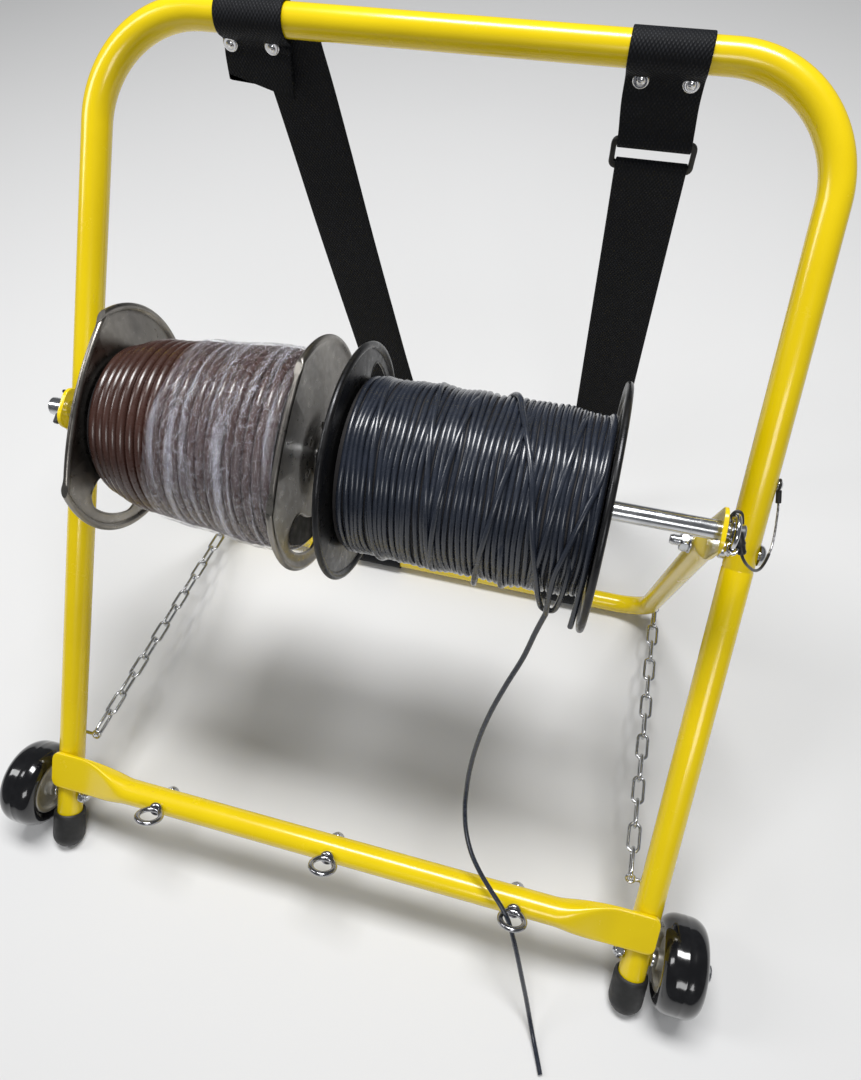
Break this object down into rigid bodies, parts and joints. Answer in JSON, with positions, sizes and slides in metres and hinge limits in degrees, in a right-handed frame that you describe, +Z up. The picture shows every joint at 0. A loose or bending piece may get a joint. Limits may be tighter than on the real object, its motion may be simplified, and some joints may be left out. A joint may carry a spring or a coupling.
{
  "type": "wire spool caddy",
  "caption": "Leaning tube-frame caddy on small wheels with a folding rear leg and an axle that pays out wire from spools through eye guides.",
  "frame": {"origin": "middle of the footprint on the ground: centre of the box of the hard parts, at ground level", "axes": "+X across the caddy to the lock pin side, +Y to the back where the frame leans, +Z up"},
  "size_m": [0.6338, 0.5719, 0.5085],
  "materials": {
    "yellow_powder_coat": "glossy powder coat",
    "zinc_steel": "bright zinc plate",
    "dark_steel": "bare pressed sheet with a dull sheen",
    "black_rubber": "matt moulded rubber",
    "black_tyre": "glossy moulded tread",
    "hub_grey": "dull grey disc",
    "black_webbing": "ribbed polypropylene webbing",
    "black_plastic": "moulded plastic",
    "brown_wire": "glossy insulated wire",
    "grey_wire": "satin insulated wire",
    "clear_film": "crinkled clear shrink film"
  },
  "bodies": {
    "frame": {"main_tube": "yellow_powder_coat", "crossbar": "yellow_powder_coat", "wire_guide_left": "zinc_steel", "wire_guide_centre": "zinc_steel", "wire_guide_right": "zinc_steel", "guide_nut_left": "zinc_steel", "guide_nut_centre": "zinc_steel", "guide_nut_right": "zinc_steel", "leg_tip_left": "black_rubber", "leg_tip_right": "black_rubber", "wheel_bolt_left": "zinc_steel", "wheel_bolt_right": "zinc_steel", "wheel_nut_left": "zinc_steel", "wheel_nut_right": "zinc_steel", "wheel_spacer_left": "zinc_steel", "wheel_spacer_right": "zinc_steel", "pivot_bolt_left": "zinc_steel", "pivot_bolt_right": "zinc_steel", "pivot_nut_left": "zinc_steel", "pivot_nut_right": "zinc_steel", "pivot_spacer_left": "zinc_steel", "pivot_spacer_right": "zinc_steel", "chain_eye_low_left": "zinc_steel", "chain_eye_low_right": "zinc_steel", "chain_left": "zinc_steel", "chain_right": "zinc_steel", "strap_tab_left": "black_webbing", "strap_tab_right": "black_webbing", "strap_rivet_left_a": "zinc_steel", "strap_rivet_left_b": "zinc_steel", "strap_rivet_right_a": "zinc_steel", "strap_rivet_right_b": "zinc_steel", "strap_slider_right": "black_plastic", "strap_left": "black_webbing", "strap_right": "black_webbing", "lanyard": "black_plastic", "lanyard_screw": "zinc_steel", "free_wire": "grey_wire"},
    "rear_leg": {"rear_leg": "yellow_powder_coat", "axle_rod": "zinc_steel", "axle_cross_pin": "dark_steel", "lock_pin": "zinc_steel", "strap_foot_left": "black_webbing", "strap_foot_right": "black_webbing", "chain_eye_high_left": "zinc_steel", "chain_eye_high_right": "zinc_steel"},
    "lock_ring": {"lock_ring": "zinc_steel"},
    "spool_left": {"spool_left_flange_outer": "dark_steel", "spool_left_flange_inner": "dark_steel", "spool_left_barrel": "dark_steel", "wound_wire_left": "brown_wire", "shrink_film": "clear_film"},
    "spool_right": {"spool_right_flange_outer": "dark_steel", "spool_right_flange_inner": "dark_steel", "spool_right_barrel": "dark_steel", "wound_wire_right": "grey_wire"},
    "wheel_left": {"tyre_left": "black_tyre", "hub_left": "hub_grey"},
    "wheel_right": {"tyre_right": "black_tyre", "hub_right": "hub_grey"}
  },
  "joints": [
    {"name": "rear_leg_fold", "type": "hinge", "parent": "frame", "child": "rear_leg", "pos_m": [0, 0.02754, 0.27901], "axis": [-1, 0, 0], "range_deg": [0, 63], "deforming": ["chain_left", "chain_right", "strap_left", "strap_right", "lanyard", "free_wire"]},
    {"name": "lock_ring_swing", "type": "hinge", "parent": "rear_leg", "child": "lock_ring", "pos_m": [0.24, -0.00654, 0.32977], "axis": [0, 0.309, -0.9511], "range_deg": [0, 100]},
    {"name": "spool_left_spin", "type": "hinge", "parent": "rear_leg", "child": "spool_left", "pos_m": [-0.118, 0.00392, 0.33317], "axis": [1, 0, 0], "continuous": true},
    {"name": "spool_right_spin", "type": "hinge", "parent": "rear_leg", "child": "spool_right", "pos_m": [0.075, 0.00392, 0.33317], "axis": [1, 0, 0], "continuous": true},
    {"name": "wheel_left_spin", "type": "hinge", "parent": "frame", "child": "wheel_left", "pos_m": [-0.2925, -0.21295, 0.03852], "axis": [1, 0, 0], "continuous": true},
    {"name": "wheel_right_spin", "type": "hinge", "parent": "frame", "child": "wheel_right", "pos_m": [0.2925, -0.21295, 0.03852], "axis": [1, 0, 0], "continuous": true}
  ]
}
